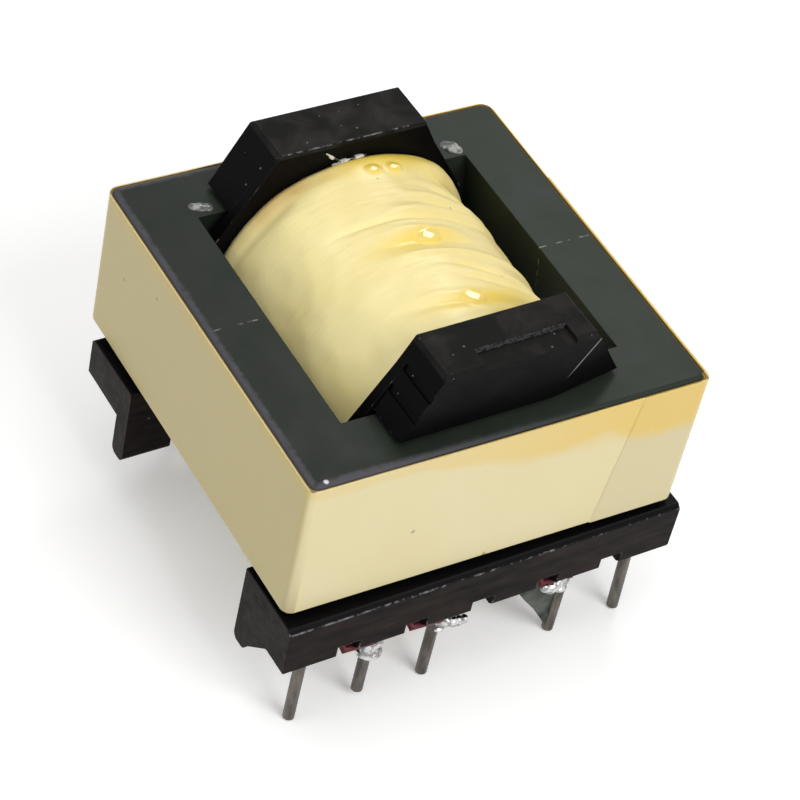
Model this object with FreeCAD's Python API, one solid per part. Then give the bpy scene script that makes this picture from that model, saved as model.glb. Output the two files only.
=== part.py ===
import FreeCAD, Part
import math
import os

# High frequency transformer for a switching power supply.
# Two ferrite E halves with a round middle post stand in a moulded phenolic bobbin,
# which lies on its side and carries two rows of solder pins.
# Origin: centre of the pin field, on the plane of the circuit board.
# +X runs along the pin rows, +Y from the front row to the back row, +Z up. Millimetres.

V = FreeCAD.Vector
UP = V(0, 0, 1)
ALONG_X = V(1, 0, 0)
ALONG_Y = V(0, 1, 0)
FRONT = -1
BACK = 1

# How far a cutting shape runs past the faces that it cuts
over = 0.5

# Pin field. Front places count from the left as pins 1 to 6, back places from the right as 7 to 12.
# The places of pins 4 and 12 are left empty, so that the part fits its board one way round.
pin_pitch = 5.0
row_spacing = 25.0
pins_in_row = 6
front_pins = [(place, FRONT) for place in (1, 2, 3, 5, 6)]
back_pins = [(place, BACK) for place in (6, 5, 4, 3, 2)]
empty_places = [(4, FRONT), (1, BACK)]
wired_pins = [(2, FRONT), (3, FRONT), (5, FRONT), (5, BACK), (3, BACK), (2, BACK)]
pin_radius = 0.4
pin_below_board = 4.2
pin_tip_chamfer = 0.15
short_pin = 2
short_pin_cut = 0.5
bent_pin = 6
bent_pin_angle = 3.0

# Pin rails and feet of the bobbin
rail_past_core = 0.5
rail_overhang = 1.25
rail_depth = 5.75
rail_height = 4.2
rail_edge = 0.3
pin_cover = 1.0
foot_height = 2.2
foot_thickness = 1.45
foot_length = 3.6
foot_round = 0.5
front_foot_root = 3.2
rail_end_chamfer = 0.4
groove_width = 1.6
groove_height = 1.1

# Ferrite core, two equal halves
core_length = 28.5
core_half_depth = 14.0
core_height = 11.4
core_corner_radius = 0.75
core_edge_radius = 0.35
post_diameter = 9.9
post_gap = 0.4
window_width = 21.4
window_side_sag = 0.7
yoke_depth = 4.35
core_on_rail = 0.1
core_centre_y = 1.25
core_turn = -1.0

# Spool of the bobbin: tube and two cheeks
spool_shift = 0.12
cheek_thickness = 0.75
cheek_to_yoke = 0.4
cheek_to_leg = 0.4
cheek_shoulder = 3.85
cheek_top_width = 10.4
bore_clearance = 0.35
tube_wall = 0.8

# Blocks over the yokes, moulded on the cheeks
block_top_width = 10.8
block_foot_width = 15.9
block_depth = 3.9
block_above_core = 5.05
block_over_core = 0.3
block_edge = 0.25
front_block_foot_right = 8.5
facet_width = 5.6
facet_setback = 0.8
facet_below_top = 0.5
slope_groove_width = 0.5
slope_groove_depth = 0.15
slope_groove_shares = (0.36, 0.66)
recess_from_left = 2.7
recess_from_right = 1.5
recess_reach = 1.5
recess_depth = 0.3

# Windings and their insulation, from the tube outwards
winding_end_gap = 0.05
inner_primary_build = 0.75
secondary_build = 1.05
outer_primary_build = 0.75
layer_tape = 0.1
wrap_build = 0.5

# Folds of the wrap: waves round the barrel, their weight, and how far they twist along it
fold_height = 0.13
fold_waves = ((3, 1.0, 2.2), (5, 0.8, -3.0))
fold_sections = 7
fold_points = 22

# Tape round the core. Its end laps over its start, from the front face round the right corner.
core_tape_thickness = 0.2
core_tape_below_top = 0.1
core_tape_above_foot = 0.4
tape_lap_thickness = 0.08
tape_lap_from_corner = 4.1
tape_lap_slant = 1.4
tape_lap_on_side = 20.0

# Lead wires: how far each bend lies inside the rail or past the row of pins
lead_radius = 0.25
lead_clearance = 0.03
lead_start_reach = 6.5
lead_start_inside = 2.6
lead_bend_inside = 1.7
lead_entry_inside = 0.7
lead_turn_inside = 0.6
lead_turn_past = 0.55
lead_turn_aside = 0.25
lead_bend_aside_share = 0.3
lead_bend_drop_share = 0.25

# Solder drawn over the turns of a lead on its pin
lead_turns = 3
solder_build = 0.55
solder_waist_build = 0.38
solder_below_rail = 0.12
solder_above_board = 0.25
solder_fillet = 0.2

# Heights and places worked out from the values above
row_y = row_spacing / 2
rail_outer = row_y + rail_overhang
rail_inner = rail_outer - rail_depth
rail_half = core_length / 2 + rail_past_core
rail_foot_z = foot_height
rail_top_z = foot_height + rail_height
pin_in_rail = rail_height - pin_cover
core_foot_z = rail_top_z + core_on_rail
core_centre_z = core_foot_z + core_height / 2
core_top_z = core_foot_z + core_height
window_depth = core_half_depth - yoke_depth
block_foot_z = core_top_z + block_over_core
block_top_z = core_top_z + block_above_core
spool_centre_y = core_centre_y - spool_shift
cheek_gap = 2 * (window_depth - cheek_to_yoke - cheek_thickness)
cheek_half = window_width / 2 - window_side_sag - cheek_to_leg
post_radius = post_diameter / 2
bore_radius = post_radius + bore_clearance
tube_radius = bore_radius + tube_wall
inner_primary_radius = tube_radius + inner_primary_build
inner_tape_radius = inner_primary_radius + layer_tape
secondary_radius = inner_tape_radius + secondary_build
outer_tape_radius = secondary_radius + layer_tape
outer_primary_radius = outer_tape_radius + outer_primary_build
wrap_radius = outer_primary_radius + wrap_build


def box(x0, x1, y0, y1, z0, z1):
    """A block between two corners, given in any order."""
    x0, x1 = sorted((x0, x1))
    y0, y1 = sorted((y0, y1))
    z0, z1 = sorted((z0, z1))
    return Part.makeBox(x1 - x0, y1 - y0, z1 - z0, V(x0, y0, z0))


def rod(radius, y0, y1, centre_z):
    """A round bar along Y."""
    return Part.makeCylinder(radius, y1 - y0, V(0, y0, centre_z), ALONG_Y)


def slab(outline, y0, y1):
    """A closed outline of (x, z) points, extruded along Y."""
    y0, y1 = sorted((y0, y1))
    corners = [V(x, y0, z) for x, z in outline]
    face = Part.Face(Part.makePolygon(corners + corners[:1]))
    return face.extrude(V(0, y1 - y0, 0))


def bar(outline, x0, x1):
    """A closed outline of (y, z) points, extruded along X."""
    x0, x1 = sorted((x0, x1))
    corners = [V(x0, y, z) for y, z in outline]
    face = Part.Face(Part.makePolygon(corners + corners[:1]))
    return face.extrude(V(x1 - x0, 0, 0))


def fuse(shapes):
    """One solid from pieces moulded as one."""
    whole = shapes[0].multiFuse(shapes[1:])
    return whole.removeSplitter()


def edges_along(shape, axis):
    """Straight edges that run along an axis."""
    found = []
    for edge in shape.Edges:
        if isinstance(edge.Curve, Part.Line):
            run = edge.Vertexes[-1].Point.sub(edge.Vertexes[0].Point)
            if run.cross(axis).Length < 1e-6 * run.Length:
                found.append(edge)
    return found


def cheek_face_y(side):
    """Inner face of a cheek, where the winding ends."""
    return spool_centre_y + side * cheek_gap / 2


def pin_x(place):
    """X of a pin, with places counted from 1 at the left."""
    return (place - 1 - (pins_in_row - 1) / 2) * pin_pitch


def pin_number(place, side):
    """Pins are numbered round the part, so the back row runs from right to left."""
    return place if side == FRONT else 2 * pins_in_row + 1 - place


def save(name, shape):
    """Each piece is one closed solid in a file of its own."""
    solid = shape.Solids[0] if len(shape.Solids) == 1 else shape
    solid.exportStep("parts/" + name + ".step")
    print(name, "solids", len(shape.Solids), "valid", solid.isValid(), "volume", round(solid.Volume, 2))


# Ferrite core
def place_core(shape):
    """The core sits slightly turned in the slack of the bobbin."""
    shape.rotate(V(0, 0, 0), UP, core_turn)
    shape.translate(V(0, core_centre_y, core_centre_z))
    return shape


def core_prism(offset, z0, z1):
    """The outer form of the whole core, grown by an offset, in the core's own frame."""
    prism = box(-core_length / 2 - offset, core_length / 2 + offset,
                -core_half_depth - offset, core_half_depth + offset, z0, z1)
    return prism.makeFillet(core_corner_radius + offset, edges_along(prism, UP))


def window_outline():
    """The window seen from the mating face: its legs are hollowed to an arc."""
    middle_x = window_width / 2
    half = core_height / 2
    radius = (window_side_sag ** 2 + half ** 2) / (2 * window_side_sag)
    past = half + over
    edge_x = middle_x - radius + math.sqrt(radius ** 2 - past ** 2)
    right = Part.Arc(V(edge_x, 0, -past), V(middle_x, 0, 0), V(edge_x, 0, past))
    left = Part.Arc(V(-edge_x, 0, past), V(-middle_x, 0, 0), V(-edge_x, 0, -past))
    top = Part.LineSegment(V(edge_x, 0, past), V(-edge_x, 0, past))
    foot = Part.LineSegment(V(-edge_x, 0, -past), V(edge_x, 0, -past))
    return Part.Wire([right.toShape(), top.toShape(), left.toShape(), foot.toShape()])


def core_half(side, post_cut):
    """One E half: yoke, two legs and the round post, which is ground back by post_cut."""
    half = core_height / 2
    block = core_prism(0, -half, half)
    rims = [edge for edge in block.Edges if edge.BoundBox.ZLength < 1e-6]
    block = block.makeFillet(core_edge_radius, rims)
    block = block.common(box(-core_length, core_length, 0, side * core_length, -core_height, core_height))
    window = Part.Face(window_outline()).extrude(V(0, side * window_depth, 0))
    post_start, post_end = sorted((side * post_cut, side * (window_depth + over)))
    post = rod(post_radius, post_start, post_end, 0)
    return place_core(block.cut(window).fuse(post).removeSplitter())


def core_tape():
    """Tape round both halves, which holds them together."""
    z0 = -core_height / 2 + core_tape_above_foot
    z1 = core_height / 2 - core_tape_below_top
    ring = core_prism(core_tape_thickness, z0, z1)
    lap = core_prism(core_tape_thickness + tape_lap_thickness, z0, z1).cut(ring)
    ring = ring.cut(core_prism(0, z0, z1))
    # The tape's end is cut on a slant across the front face.
    top_x = core_length / 2 - tape_lap_from_corner
    foot_x = top_x - tape_lap_slant
    beyond = core_length / 2 + 1
    end = slab([(foot_x, z0), (beyond, z0), (beyond, z1), (top_x, z1)],
               -core_half_depth - 1, tape_lap_on_side - core_half_depth)
    return place_core(ring.fuse(lap.common(end)).removeSplitter())


# Bobbin
def cheek(side):
    """Plate at one end of the spool, with sloped shoulders above the core."""
    shoulder_z = core_centre_z + cheek_shoulder
    top_half = cheek_top_width / 2
    outline = [(-cheek_half, rail_foot_z), (cheek_half, rail_foot_z), (cheek_half, shoulder_z),
               (top_half, block_top_z), (-top_half, block_top_z), (-cheek_half, shoulder_z)]
    inner = cheek_face_y(side)
    return slab(outline, inner, inner + side * cheek_thickness)


def yoke_block(side):
    """Block that reaches from the cheek over the yoke, with sloped ends. The front one spreads more to the right."""
    top = block_top_width / 2
    foot = block_foot_width / 2
    foot_right = front_block_foot_right if side == FRONT else foot
    outline = [(-foot, block_foot_z), (foot_right, block_foot_z), (top, block_top_z), (-top, block_top_z)]
    outer = cheek_face_y(side) + side * block_depth
    block = slab(outline, cheek_face_y(side), outer)
    rim = [edge for edge in edges_along(block, ALONG_X)
           if abs(edge.CenterOfMass.y - outer) < 1e-6 and abs(edge.CenterOfMass.z - block_top_z) < 1e-6]
    return block.makeChamfer(block_edge, rim)


def tetrahedron(a, b, c, d):
    """A solid with four corners."""
    faces = []
    for corners in ((a, b, c), (a, c, d), (a, d, b), (b, d, c)):
        faces.append(Part.Face(Part.makePolygon(list(corners) + [corners[0]])))
    return Part.makeSolid(Part.makeShell(faces))


def front_block_details(block):
    """Mould marks on the front block: a shallow recess, a cut corner and grooves on the left slope."""
    outer = cheek_face_y(FRONT) - block_depth
    foot = block_foot_width / 2
    top = block_top_width / 2
    recess = box(recess_from_left - top, top - recess_from_right, outer - over, outer + recess_reach,
                 block_top_z - recess_depth, block_top_z + over)
    block = block.cut(recess)
    # The right front corner is cut by a slanted facet, wide and deeper at the foot and nothing near the top.
    low = block_foot_z - over / 10
    high = block_top_z - facet_below_top
    right = front_block_foot_right
    edge_x = top + (right - top) * facet_below_top / (block_top_z - block_foot_z)
    block = block.cut(tetrahedron(V(edge_x, outer, high), V(right - facet_width, outer, low),
                                  V(right, outer + facet_setback, low), V(right + over, outer - over, low)))
    # Shallow grooves run along the left slope, square to it.
    fall = V(top - foot, 0, block_foot_z - block_top_z)
    down_slope = V(fall.x, 0, fall.z).normalize()
    inward = V(-down_slope.z, 0, down_slope.x)
    for share in slope_groove_shares:
        middle = V(-top, 0, block_top_z) + fall * share
        outline = []
        for along, deep in ((-1, -over), (1, -over), (1, slope_groove_depth), (-1, slope_groove_depth)):
            corner = middle + down_slope * (along * slope_groove_width / 2) + inward * deep
            outline.append((corner.x, corner.z))
        block = block.cut(slab(outline, outer - over, outer + block_depth - cheek_thickness))
    return block


def rail(side):
    """Bar under the yoke that holds a row of pins, with a foot at each end."""
    outer = side * rail_outer
    inner = side * rail_inner
    nearest = cheek_face_y(side)
    bar_inner = side * max(rail_inner, abs(nearest))
    pieces = [box(-cheek_half, cheek_half, nearest, outer, rail_foot_z, rail_top_z),
              box(-rail_half, rail_half, bar_inner, outer, rail_foot_z, rail_top_z)]
    for end in (-1, 1):
        pieces.append(box(end * cheek_half, end * rail_half, inner, outer, rail_foot_z, rail_top_z))
        foot = box(end * (rail_half - foot_length), end * rail_half,
                   inner, inner + side * foot_thickness, 0, rail_top_z)
        soles = [edge for edge in edges_along(foot, ALONG_X) if edge.CenterOfMass.z < 1e-6]
        pieces.append(foot.makeFillet(foot_round, soles))
        if side == FRONT:
            # A front foot is braced by a slope up to the rail.
            face = inner + side * foot_thickness
            root = inner + side * front_foot_root
            brace = [(face, foot_round), (root, rail_foot_z), (face, rail_foot_z)]
            pieces.append(bar(brace, end * (rail_half - foot_length), end * rail_half))
    whole = fuse(pieces)
    rims = [edge for edge in edges_along(whole, ALONG_X) if abs(edge.CenterOfMass.y - outer) < 1e-6]
    whole = whole.makeChamfer(rail_edge, rims)
    ends = [edge for edge in edges_along(whole, ALONG_Y)
            if abs(abs(edge.CenterOfMass.x) - rail_half) < 1e-6 and abs(edge.CenterOfMass.z - rail_foot_z) < 1e-6]
    return whole.makeChamfer(rail_end_chamfer, ends)


def wire_grooves(side):
    """Channels across the foot of a rail and its cheek, midway between the pins."""
    inner = side * (min(rail_inner, abs(cheek_face_y(side))) - over)
    outer = side * (rail_outer + over)
    channels = []
    for place in range(1, pins_in_row):
        x = pin_x(place) + pin_pitch / 2
        channels.append(box(x - groove_width / 2, x + groove_width / 2, inner, outer,
                            rail_foot_z - over, rail_foot_z + groove_height))
    return channels


def end_relief():
    """The back rail is as shallow as its grooves at the left end, where its place for a pin is empty."""
    foot_face = rail_inner + foot_thickness
    groove_side = pin_x(1) + (pin_pitch - groove_width) / 2
    return box(-rail_half - over, groove_side, foot_face, rail_outer + over,
               rail_foot_z - over, rail_foot_z + groove_height)


def pin_hole(place, side):
    """Blind hole in the foot of the rail."""
    return Part.makeCylinder(pin_radius, pin_in_rail + over, V(pin_x(place), side * row_y, rail_foot_z - over))


def bobbin():
    """The whole moulding: spool, blocks, rails and feet."""
    tube = rod(tube_radius, cheek_face_y(FRONT) - cheek_thickness, cheek_face_y(BACK) + cheek_thickness, core_centre_z)
    front_block = front_block_details(yoke_block(FRONT))
    whole = fuse([tube, cheek(FRONT), cheek(BACK), front_block, yoke_block(BACK), rail(FRONT), rail(BACK)])
    cuts = [rod(bore_radius, -core_length, core_length, core_centre_z)]
    cuts += wire_grooves(FRONT) + wire_grooves(BACK) + [end_relief()]
    cuts += [pin_hole(place, side) for place, side in front_pins + back_pins + empty_places]
    return whole.cut(cuts)


# Windings
def layer(inner, outer):
    """One layer of the winding, a ring between the cheeks."""
    y0 = cheek_face_y(FRONT) + winding_end_gap
    y1 = cheek_face_y(BACK) - winding_end_gap
    return rod(outer, y0, y1, core_centre_z).cut(rod(inner, y0, y1, core_centre_z))


def wrap_section(y, share):
    """Closed outline of the crumpled wrap at one place along the spool."""
    weights = sum(weight for count, weight, twist in fold_waves)
    points = []
    for step in range(fold_points):
        angle = 2 * math.pi * step / fold_points
        swell = sum(weight * math.sin(count * angle + twist * share * math.pi) for count, weight, twist in fold_waves)
        radius = wrap_radius - fold_height + fold_height * swell / weights
        points.append(V(radius * math.cos(angle), y, core_centre_z + radius * math.sin(angle)))
    curve = Part.BSplineCurve()
    curve.interpolate(Points=points, PeriodicFlag=True)
    return Part.Wire([curve.toShape()])


def outer_wrap():
    """Polyester tape wound round the windings, with its main folds."""
    y0 = cheek_face_y(FRONT) + winding_end_gap
    y1 = cheek_face_y(BACK) - winding_end_gap
    sections = []
    for step in range(fold_sections):
        share = step / (fold_sections - 1)
        sections.append(wrap_section(y0 + share * (y1 - y0), share))
    barrel = Part.makeLoft(sections, True, False)
    return barrel.cut(rod(outer_primary_radius, y0 - over, y1 + over, core_centre_z))


# Pins
def pin(place, side):
    """Tinned pin, pressed up into the rail. Its free end starts at the board's plane, or at the rail if it is bent."""
    number = pin_number(place, side)
    bend = math.radians(bent_pin_angle if number == bent_pin else 0)
    start_z = rail_foot_z if bend else 0
    start = V(pin_x(place), side * row_y, start_z)
    length_free = start_z + pin_below_board - (short_pin_cut if number == short_pin else 0)
    free_end = Part.makeCylinder(pin_radius, length_free, start, V(math.sin(bend), 0, -math.cos(bend)))
    tip = [edge for edge in free_end.Edges if edge.Closed and edge.CenterOfMass.z < start_z - length_free / 2]
    free_end = free_end.makeChamfer(pin_tip_chamfer, tip)
    held_end = Part.makeCylinder(pin_radius, rail_foot_z + pin_in_rail - start_z, start)
    if bend:
        return free_end.multiFuse([Part.makeSphere(pin_radius, start), held_end])
    return free_end.fuse(held_end)


# Lead wires and solder
def bent_wire(points, radius):
    """Round wire along straight runs, mitred at its bends."""
    path = Part.makePolygon(points)
    along = (points[1] - points[0]).normalize()
    section = Part.Wire([Part.makeCircle(radius, points[0], along)])
    mitred = 1
    return path.makePipeShell([section], True, False, mitred)


def lead(place, side):
    """End of a winding, led from under the wrap along a groove of the rail and round its pin."""
    groove_x = pin_x(place) - pin_pitch / 2
    start_x = max(-lead_start_reach, min(lead_start_reach, groove_x))
    bend_x = start_x + lead_bend_aside_share * (groove_x - start_x)
    reach = math.sqrt(wrap_radius ** 2 - start_x ** 2)
    start_z = core_centre_z - reach - lead_radius - lead_clearance
    in_groove = rail_foot_z + groove_height / 2
    bend_z = start_z - lead_bend_drop_share * (start_z - in_groove)
    under_rail = rail_foot_z - lead_radius - lead_clearance
    edge_y = min(abs(cheek_face_y(side)), rail_inner)
    points = [V(start_x, side * (edge_y - lead_start_inside), start_z),
              V(bend_x, side * (edge_y - lead_bend_inside), bend_z),
              V(groove_x, side * (edge_y - lead_entry_inside), in_groove),
              V(groove_x, side * (row_y - lead_turn_inside), in_groove),
              V(groove_x + lead_turn_aside, side * (row_y + lead_turn_past), under_rail),
              V(pin_x(place), side * (row_y + pin_radius + lead_radius), under_rail)]
    return bent_wire(points, lead_radius)


def solder_joint(place, side):
    """Solder drawn over the turns of the lead on its pin, under the rail."""
    top = rail_foot_z - solder_below_rail
    turn = (top - solder_above_board) / lead_turns
    x = pin_x(place)
    y = side * row_y
    waist = x + pin_radius + solder_waist_build
    crest = x + pin_radius + solder_build
    outline = [V(x + pin_radius, y, top), V(waist, y, top)]
    for count in range(lead_turns):
        outline.append(V(crest, y, top - (count + 0.5) * turn))
        outline.append(V(waist, y, top - (count + 1) * turn))
    outline.append(V(x + pin_radius, y, solder_above_board - solder_fillet))
    face = Part.Face(Part.makePolygon(outline + outline[:1]))
    return face.revolve(V(x, y, 0), UP, 360)


def lead_end(place, side, joint):
    """The lead outside its solder and its pin."""
    reach = foot_height + pin_below_board
    core = Part.makeCylinder(pin_radius, reach, V(pin_x(place), side * row_y, -pin_below_board))
    return lead(place, side).cut([joint, core])


def main():
    os.makedirs("parts", exist_ok=True)
    save("core_half_front", core_half(FRONT, post_gap))
    save("core_half_back", core_half(BACK, 0))
    save("core_tape", core_tape())
    save("bobbin", bobbin())
    save("primary_winding_inner", layer(tube_radius, inner_primary_radius))
    save("insulation_tape_inner", layer(inner_primary_radius, inner_tape_radius))
    save("secondary_winding", layer(inner_tape_radius, secondary_radius))
    save("insulation_tape_outer", layer(secondary_radius, outer_tape_radius))
    save("primary_winding_outer", layer(outer_tape_radius, outer_primary_radius))
    save("winding_wrap", outer_wrap())
    for place, side in front_pins + back_pins:
        save("pin_%d" % pin_number(place, side), pin(place, side))
    for place, side in wired_pins:
        number = pin_number(place, side)
        joint = solder_joint(place, side)
        save("solder_joint_%d" % number, joint)
        save("lead_wire_%d" % number, lead_end(place, side, joint))


main()
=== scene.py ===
import bmesh
import bpy
import math
import random
from mathutils import Matrix, Vector, noise


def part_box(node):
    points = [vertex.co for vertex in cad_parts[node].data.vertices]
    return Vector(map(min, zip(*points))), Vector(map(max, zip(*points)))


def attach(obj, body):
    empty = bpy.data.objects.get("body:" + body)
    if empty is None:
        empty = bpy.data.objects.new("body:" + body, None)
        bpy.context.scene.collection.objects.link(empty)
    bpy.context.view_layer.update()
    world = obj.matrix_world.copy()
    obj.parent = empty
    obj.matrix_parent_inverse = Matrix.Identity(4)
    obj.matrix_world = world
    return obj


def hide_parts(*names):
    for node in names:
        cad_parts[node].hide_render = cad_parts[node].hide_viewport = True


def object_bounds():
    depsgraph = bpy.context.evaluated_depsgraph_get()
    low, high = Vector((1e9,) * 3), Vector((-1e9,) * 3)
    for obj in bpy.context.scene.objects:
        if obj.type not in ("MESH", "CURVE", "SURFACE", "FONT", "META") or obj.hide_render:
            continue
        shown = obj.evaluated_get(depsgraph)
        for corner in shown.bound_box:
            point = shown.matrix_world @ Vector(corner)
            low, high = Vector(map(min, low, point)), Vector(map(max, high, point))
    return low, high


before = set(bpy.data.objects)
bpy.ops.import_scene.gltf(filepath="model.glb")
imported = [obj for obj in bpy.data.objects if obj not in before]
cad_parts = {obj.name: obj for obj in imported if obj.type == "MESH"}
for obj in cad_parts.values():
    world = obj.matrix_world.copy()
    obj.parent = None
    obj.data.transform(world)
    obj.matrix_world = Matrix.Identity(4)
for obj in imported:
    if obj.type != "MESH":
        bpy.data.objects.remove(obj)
cad_low, cad_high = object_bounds()
MM = 0.001

# Ferrite core
# Two E-shaped halves of sintered manganese zinc ferrite stand in the bobbin, back to back round the spool.
# They are pressed and fired, the outer edges are tumbled, and the legs are ground flat where they meet,
# so a fine joint crosses both side legs.
core_turn = math.radians(-1.0)
core_low, core_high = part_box("core_half_front")[0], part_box("core_half_back")[1]
core_centre = (core_low + core_high) / 2
core_length_mm = 28.5
core_depth_mm = 28.0
# Rounded edges: vertices closer than weld_mm become one, and so do faces within flat_limit of each other.
# Edges bent by more than crease_limit are rounded, except beside edges shorter than shortest_eased_mm, which
# stay sharp. Past split_limit faces are shaded apart.
weld_mm = 0.002
flat_limit = math.radians(1)
crease_limit = math.radians(40)
split_limit = math.radians(60)
shortest_eased_mm = 0.3
edge_segments = 2
ground_edge_mm = 0.07
# The outer edge is paler where its distance in mm falls from the first value to the second: tumbled wear,
# and partly a painted highlight of the rounded edge. This pale band grows leftwards between two places in
# X, and a painted shade darkens the ferrite leftwards in the same way.
wear_highlight_band_mm = (0.83, 0.48)
wear_highlight_x_mm = (6, -9)
wear_highlight_share = 0.75
painted_shade_x_mm = (2, -12)
painted_shade_share = 0.8
ferrite_gloss = (0.36, 0.5)
joint_line_mm = 0.07
painted_glint_place_mm = (-13.17, -13.63)
painted_glint_radius_mm = 0.2
FERRITE_GREEN = "#252b25"
FERRITE_PALE = "#2f362e"
FERRITE_PAINTED_SHADE = "#1c211b"
FERRITE_WEAR_HIGHLIGHT = "#57565c"
JOINT_GLUE = "#787a72"
PAINTED_GLINT_WHITE = "#d9dadf"


def linear(hex_colour):
    """An sRGB hex colour as the linear values that a shader works in."""
    channels = [int(hex_colour[place:place + 2], 16) / 255 for place in (1, 3, 5)]
    return [c / 12.92 if c <= 0.04045 else ((c + 0.055) / 1.055) ** 2.4 for c in channels] + [1]


def node(tree, kind, inputs=None, **settings):
    """Adds a shader node with its settings. Each input is given a value, or the socket that feeds it."""
    made = tree.nodes.new("ShaderNode" + kind)
    for name, value in settings.items():
        setattr(made, name, value)
    for name, value in (inputs or {}).items():
        if isinstance(value, bpy.types.NodeSocket):
            tree.links.new(value, made.inputs[name])
        else:
            made.inputs[name].default_value = value
    return made


def maths(tree, operation, *values):
    """The result of one step of arithmetic. Each value is a number or a socket."""
    return node(tree, "Math", dict(enumerate(values)), operation=operation).outputs[0]


def ramp(tree, value, start, end, low=0, high=1, **settings):
    """Low where a value is at start, high where it is at end, and a straight slope between them."""
    inputs = {"Value": value, "From Min": start, "From Max": end, "To Min": low, "To Max": high}
    return node(tree, "MapRange", inputs, **settings).outputs[0]


def between(tree, share, first, second):
    """A number between two, the second where the share is 1."""
    return node(tree, "Mix", {0: share, 2: first, 3: second}).outputs[0]


def blend(tree, share, first, second):
    """A colour between two, the second where the share is 1. Each is an sRGB hex value or a socket."""
    first, second = (linear(colour) if isinstance(colour, str) else colour for colour in (first, second))
    return node(tree, "Mix", {0: share, 6: first, 7: second}, data_type="RGBA").outputs[2]


def clouds(tree, place, scale, detail, distortion=0):
    """Soft noise from 0 to 1, about 1 mm across where the scale is 1."""
    inputs = {"Vector": place, "Scale": scale, "Detail": detail, "Distortion": distortion}
    return node(tree, "TexNoise", inputs).outputs[0]


def bumps(tree, height, strength, depth_mm):
    """A fine relief, for the normal of a shader."""
    return node(tree, "Bump", {"Height": height, "Strength": strength, "Distance": depth_mm * MM}).outputs[0]


def new_material(name):
    """An empty material and its tree of nodes."""
    made = bpy.data.materials.new(name)
    made.use_nodes = True
    made.node_tree.nodes.clear()
    return made, made.node_tree


def surface(tree, **sockets):
    """The shader of a material. Sockets are named with underscores for spaces."""
    named = {name.replace("_", " "): value for name, value in sockets.items()}
    shader = node(tree, "BsdfPrincipled", named)
    return node(tree, "OutputMaterial", {"Surface": shader.outputs[0]})


def millimetres(tree, centre=(0, 0, 0), turn=0):
    """Object coordinates in millimetres from a centre, turned with the piece."""
    place = node(tree, "TexCoord").outputs["Object"]
    inputs = {"Vector": place, "Location": centre, "Rotation": (0, 0, turn), "Scale": (MM, MM, MM)}
    return node(tree, "Mapping", inputs, vector_type="TEXTURE").outputs[0]


def new_object(name, data):
    """An object in the scene, at the origin."""
    made = bpy.data.objects.new(name, data)
    bpy.context.scene.collection.objects.link(made)
    return made


def new_mesh(name, shape, material):
    """A mesh from a bmesh, of one material."""
    mesh = bpy.data.meshes.new(name)
    shape.to_mesh(mesh)
    shape.free()
    mesh.materials.clear()
    mesh.materials.append(material)
    return mesh


def new_piece(name, shape, material):
    """An object from a bmesh, smooth shaded, that rides with the part."""
    mesh = new_mesh(name, shape, material)
    mesh.polygons.foreach_set("use_smooth", [True] * len(mesh.polygons))
    made = new_object(name, mesh)
    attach(made, "root")
    return made


def eased_copy(node_name, piece_name, material, edge_mm):
    """A copy of a CAD node with whole faces and slightly rounded edges, which catch the light.

    Edges that meet a very short edge stay sharp, because there is no room to round them.
    """
    shape = bmesh.new()
    shape.from_mesh(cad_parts[node_name].data)
    bmesh.ops.remove_doubles(shape, verts=shape.verts, dist=weld_mm * MM)
    bmesh.ops.dissolve_limit(shape, angle_limit=flat_limit, verts=shape.verts, edges=shape.edges)
    rounded = shape.edges.layers.float.new("bevel_weight_edge")
    creases = [edge for edge in shape.edges if edge.calc_face_angle(0) > crease_limit]
    tight = {vert for edge in creases if edge.calc_length() < shortest_eased_mm * MM for vert in edge.verts}
    for edge in shape.edges:
        edge.smooth = True
    for edge in creases:
        edge[rounded] = 0 if tight.intersection(edge.verts) else 1
        edge.smooth = edge[rounded] == 1
    made = new_piece(piece_name, shape, material)
    for name in ("custom_normal", "sharp_face"):
        stale = made.data.attributes.get(name)
        if stale:
            made.data.attributes.remove(stale)
    bevel = made.modifiers.new("eased edges", "BEVEL")
    bevel.width = edge_mm * MM
    bevel.segments = edge_segments
    bevel.limit_method = "WEIGHT"
    bevel.use_clamp_overlap = False
    creased = made.modifiers.new("creases", "EDGE_SPLIT")
    creased.split_angle = split_limit
    made.modifiers.new("flat faces", "WEIGHTED_NORMAL")
    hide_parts(node_name)
    return made


# Sintered ferrite, tumbled and part ground: dark grey green with a dull ceramic gloss, and paler, smoother
# edges where the tumbling has polished it, partly a painted highlight. Painted shade darkens it leftwards.
ferrite, tree = new_material("sintered_ferrite")
place = millimetres(tree, core_centre, core_turn)
axes = node(tree, "SeparateXYZ", {0: place})
along_x = maths(tree, "ABSOLUTE", axes.outputs["X"])
along_y = maths(tree, "ABSOLUTE", axes.outputs["Y"])
from_end = maths(tree, "SUBTRACT", core_length_mm / 2, along_x)
from_front = maths(tree, "SUBTRACT", core_depth_mm / 2, along_y)
from_edge = maths(tree, "MINIMUM", from_end, from_front)
cloud = clouds(tree, place, scale=0.35, detail=5)
grain = clouds(tree, place, scale=9, detail=3)
ragged = clouds(tree, place, scale=1.6, detail=4)
edge_reach = maths(tree, "MULTIPLY_ADD", ragged, 0.5, from_edge)
# The pale edge band is tumbled wear and partly a painted highlight of the rounded edge, stronger on the left.
band = ramp(tree, edge_reach, *wear_highlight_band_mm)
leftward_share = ramp(tree, axes.outputs["X"], *wear_highlight_x_mm, high=wear_highlight_share)
wear_and_highlight = maths(tree, "MULTIPLY", band, leftward_share)
base = blend(tree, cloud, FERRITE_GREEN, FERRITE_PALE)
# Painted shade: the ferrite is darkened towards the left.
shaded = ramp(tree, axes.outputs["X"], *painted_shade_x_mm, high=painted_shade_share)
base = blend(tree, shaded, base, FERRITE_PAINTED_SHADE)
colour = blend(tree, wear_and_highlight, base, FERRITE_WEAR_HIGHLIGHT)
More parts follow.
